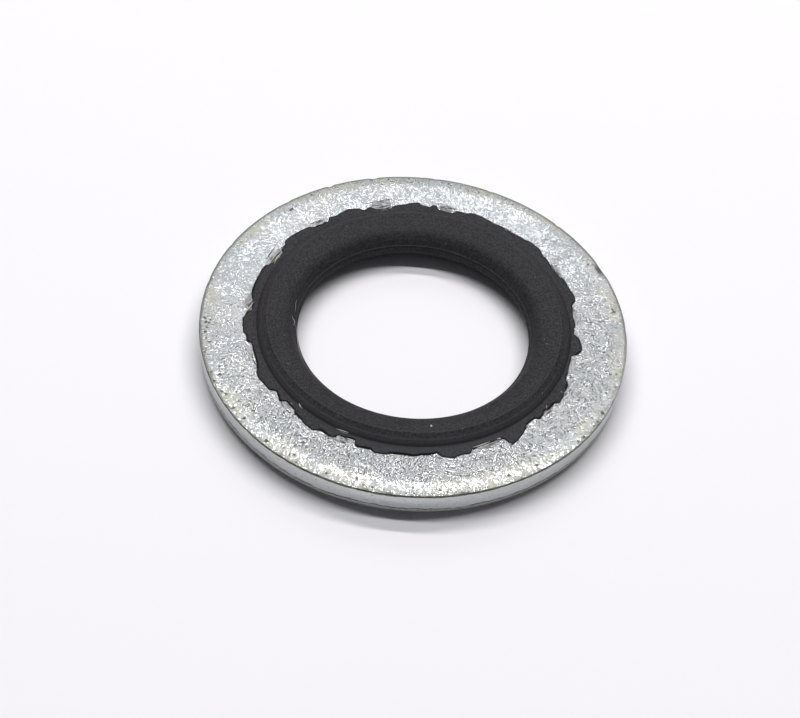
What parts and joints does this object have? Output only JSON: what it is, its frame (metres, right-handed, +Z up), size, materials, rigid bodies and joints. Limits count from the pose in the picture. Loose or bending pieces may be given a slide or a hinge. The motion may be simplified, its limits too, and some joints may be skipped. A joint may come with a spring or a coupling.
{
  "type": "bonded sealing washer",
  "caption": "Flat steel washer with a rubber sealing ring moulded round its bore, a raised lip on each face; seals under a bolt head or threaded fitting.",
  "frame": {"origin": "centre of the plane the washer rests on, which touches the lower sealing lip", "axes": "+Z up along the washer's axis, towards the face with the rounded-over rim; +X and +Y lie in the rest plane"},
  "size_m": [0.027, 0.027, 0.0029],
  "materials": {
    "plated_steel": "zinc plated, tumbled, mottled",
    "nitrile_rubber": "matte moulded"
  },
  "bodies": {
    "root": {"steel_ring": "plated_steel", "rubber_seal": "nitrile_rubber"}
  },
  "joints": []
}
